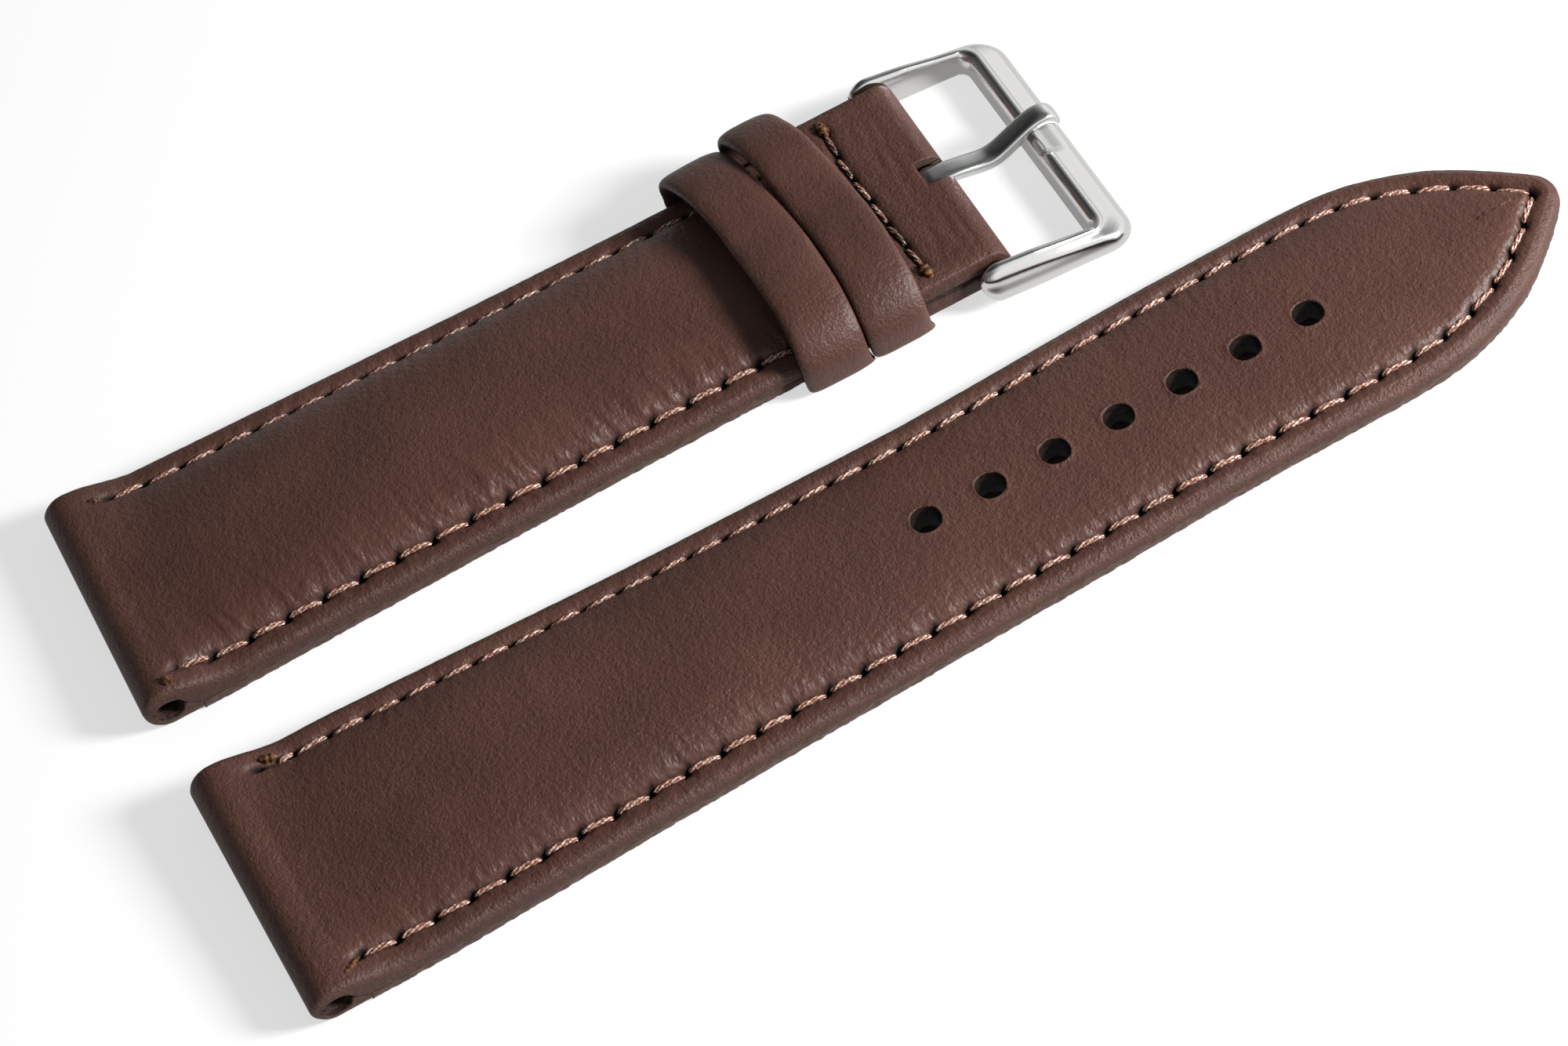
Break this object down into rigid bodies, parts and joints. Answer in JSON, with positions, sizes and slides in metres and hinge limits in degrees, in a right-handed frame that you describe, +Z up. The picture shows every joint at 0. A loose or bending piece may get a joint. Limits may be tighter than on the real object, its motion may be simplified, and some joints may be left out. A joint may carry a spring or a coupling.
{
  "type": "watch strap",
  "caption": "Two-piece padded leather watch strap with stitched borders, a pin buckle on a spring bar, a fixed and a sliding keeper, and punched adjustment holes.",
  "frame": {"origin": "bottom centre of the pair as it lies on a table", "axes": "+X from the lug ends to the buckle and the tip, +Y from the long half to the short half, +Z up from the table"},
  "size_m": [0.1203, 0.0568, 0.0072],
  "materials": {
    "top_leather": "semi-matt brown calf leather",
    "lining_leather": "matt brown lining leather",
    "padding": "felted padding board",
    "liner_strip": "thin woven strip",
    "thread": "twisted polyester thread",
    "steel": "polished stainless steel",
    "spring_steel": "plain spring steel"
  },
  "bodies": {
    "short_half": {"short_top_leather": "top_leather", "short_padding": "padding", "short_lining": "lining_leather", "short_lug_liner": "liner_strip", "short_stitching_far": "thread", "short_stitching_near": "thread", "cross_stitching": "thread", "fixed_keeper": "top_leather", "spring_bar_tube": "steel", "spring_bar_spring": "spring_steel"},
    "free_keeper": {"free_keeper": "top_leather"},
    "buckle": {"buckle_frame": "steel"},
    "tang": {"buckle_tang": "steel"},
    "bar_tip_near": {"spring_bar_tip_near": "steel"},
    "bar_tip_far": {"spring_bar_tip_far": "steel"},
    "long_half": {"long_top_leather": "top_leather", "long_padding": "padding", "long_lining": "lining_leather", "long_lug_liner": "liner_strip", "long_stitching": "thread"}
  },
  "joints": [
    {"name": "buckle_swing", "type": "hinge", "parent": "short_half", "child": "buckle", "pos_m": [0.01824, 0.01428, 0.00297], "axis": [-0.0262, -0.9997, 0], "range_deg": [-90, 40]},
    {"name": "tang_lift", "type": "hinge", "parent": "buckle", "child": "tang", "pos_m": [0.01824, 0.01428, 0.00297], "axis": [-0.0262, -0.9997, 0], "range_deg": [0, 55]},
    {"name": "free_keeper_slide", "type": "slide", "parent": "short_half", "child": "free_keeper", "axis": [-0.9995, 0.0262, -0.0147], "range_m": [0, 0.022]},
    {"name": "bar_tip_near_press", "type": "slide", "parent": "short_half", "child": "bar_tip_near", "axis": [0.0262, 0.9997, 0], "range_m": [0, 0.00125], "stiffness_N_per_m": 400, "deforming": ["spring_bar_spring"]},
    {"name": "bar_tip_far_press", "type": "slide", "parent": "short_half", "child": "bar_tip_far", "axis": [-0.0262, -0.9997, 0], "range_m": [0, 0.00125], "stiffness_N_per_m": 400, "deforming": ["spring_bar_spring"]},
    {"name": "long_half_lift", "type": "slide", "parent": "short_half", "child": "long_half", "axis": [0, 0, 1], "range_m": [0, 0.04]}
  ]
}
